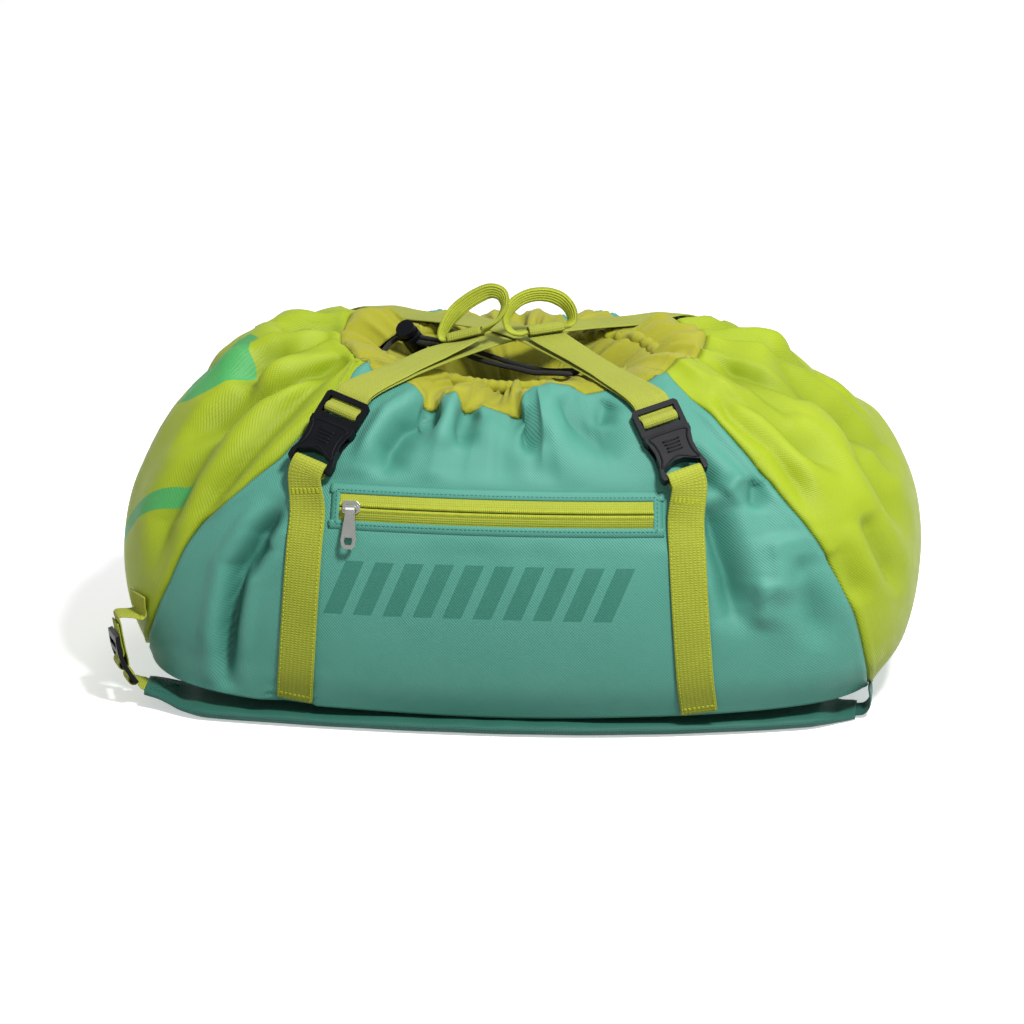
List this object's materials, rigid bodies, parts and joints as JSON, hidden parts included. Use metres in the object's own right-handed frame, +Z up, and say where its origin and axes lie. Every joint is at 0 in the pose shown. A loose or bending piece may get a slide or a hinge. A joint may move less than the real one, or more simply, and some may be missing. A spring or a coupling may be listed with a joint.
{
  "type": "rope storage bag",
  "caption": "Soft holdall for rope with a gathered drawcord mouth, crossing compression straps with side-release buckles, a front zip pocket and a padded shoulder strap.",
  "frame": {"origin": "on the floor, under the middle of the bag", "axes": "+X to the right as the zip pocket is faced, +Y to the back, +Z up"},
  "size_m": [0.5395, 0.32, 0.2833],
  "materials": {
    "jade_fabric": "woven polyester twill",
    "lime_fabric": "woven polyester twill",
    "collar_fabric": "thin gathered polyester",
    "webbing": "ribbed webbing",
    "black_plastic": "moulded acetal",
    "black_cord": "braided cord",
    "steel": "plated zinc",
    "spring_steel": "spring wire",
    "foam": "closed-cell foam"
  },
  "bodies": {
    "bag": {"front_panel": "jade_fabric", "back_panel": "jade_fabric", "base_panel": "jade_fabric", "pocket_lining": "jade_fabric", "left_side_panel": "lime_fabric", "right_side_panel": "lime_fabric", "collar_front": "collar_fabric", "collar_right": "collar_fabric", "collar_back": "collar_fabric", "collar_left": "collar_fabric", "drawcord_casing": "collar_fabric", "zip_tape_upper": "webbing", "zip_tape_lower": "webbing", "adjuster_webbing": "webbing", "left_front_webbing": "webbing", "left_back_webbing": "webbing", "left_top_strap": "webbing", "right_front_webbing": "webbing", "right_back_webbing": "webbing", "right_top_strap": "webbing", "left_buckle_socket": "black_plastic", "right_buckle_socket": "black_plastic", "drawcord": "black_cord", "drawcord_tail": "black_cord"},
    "left_plug": {"left_buckle_plug": "black_plastic"},
    "right_plug": {"right_buckle_plug": "black_plastic"},
    "left_loop": {"left_pull_loop": "webbing"},
    "right_loop": {"right_pull_loop": "webbing"},
    "zip_slider": {"zip_slider": "steel"},
    "zip_pull": {"zip_pull": "steel"},
    "cord_lock": {"cord_lock_body": "black_plastic", "cord_lock_spring": "spring_steel"},
    "cord_lock_button": {"cord_lock_button": "black_plastic"},
    "shoulder_strap": {"shoulder_pad_backing": "jade_fabric", "shoulder_pad_foam": "foam", "shoulder_pad_face": "jade_fabric", "shoulder_pad_webbing": "webbing", "shoulder_anchor_webbing": "jade_fabric"},
    "strap_adjuster": {"strap_adjuster": "black_plastic"}
  },
  "joints": [
    {"name": "left_buckle_release", "type": "slide", "parent": "bag", "child": "left_plug", "axis": [0.4377, 0.5904, 0.6781], "range_m": [0, 0.024], "deforming": ["left_top_strap"]},
    {"name": "right_buckle_release", "type": "slide", "parent": "bag", "child": "right_plug", "axis": [-0.4376, 0.5903, 0.6783], "range_m": [0, 0.024], "deforming": ["right_top_strap"]},
    {"name": "zip_run", "type": "hinge", "parent": "bag", "child": "zip_slider", "pos_m": [0, 0.78498, 0.157], "axis": [0, 0, 1], "range_deg": [0, 11.8]},
    {"name": "zip_pull_swing", "type": "hinge", "parent": "zip_slider", "child": "zip_pull", "pos_m": [-0.09735, -0.14924, 0.15876], "axis": [-0.9946, 0.1037, 0], "range_deg": [0, 120]},
    {"name": "cord_lock_run", "type": "slide", "parent": "bag", "child": "cord_lock", "axis": [0.88, -0.475, 0], "range_m": [0, 0.025]},
    {"name": "cord_lock_press", "type": "slide", "parent": "cord_lock", "child": "cord_lock_button", "axis": [0.3295, 0.6105, -0.7202], "range_m": [0, 0.003], "stiffness_N_per_m": 150, "springref_m": -0.004, "deforming": ["cord_lock_spring"]},
    {"name": "left_loop_turn", "type": "hinge", "parent": "bag", "child": "left_loop", "pos_m": [-0.031, -0.031, 0.245], "axis": [0.9392, -0.1616, 0.303], "range_deg": [0, 30], "stiffness_Nm_per_rad": 0.004, "deforming": ["left_top_strap"]},
    {"name": "right_loop_turn", "type": "hinge", "parent": "bag", "child": "right_loop", "pos_m": [0.023, -0.022, 0.248], "axis": [0.9405, 0.3302, 0.08], "range_deg": [-30, 30], "stiffness_Nm_per_rad": 0.004, "deforming": ["right_top_strap"]},
    {"name": "shoulder_strap_swing", "type": "hinge", "parent": "bag", "child": "shoulder_strap", "pos_m": [0.246, -0.08286, 0.005], "axis": [0, 0, 1], "range_deg": [0, 12], "deforming": ["adjuster_webbing", "shoulder_anchor_webbing"]},
    {"name": "adjuster_tilt", "type": "hinge", "parent": "shoulder_strap", "child": "strap_adjuster", "pos_m": [-0.25368, -0.10197, 0.01809], "axis": [0.2889, -0.9506, 0.1138], "range_deg": [0, 30], "deforming": ["adjuster_webbing", "shoulder_pad_webbing"]}
  ]
}
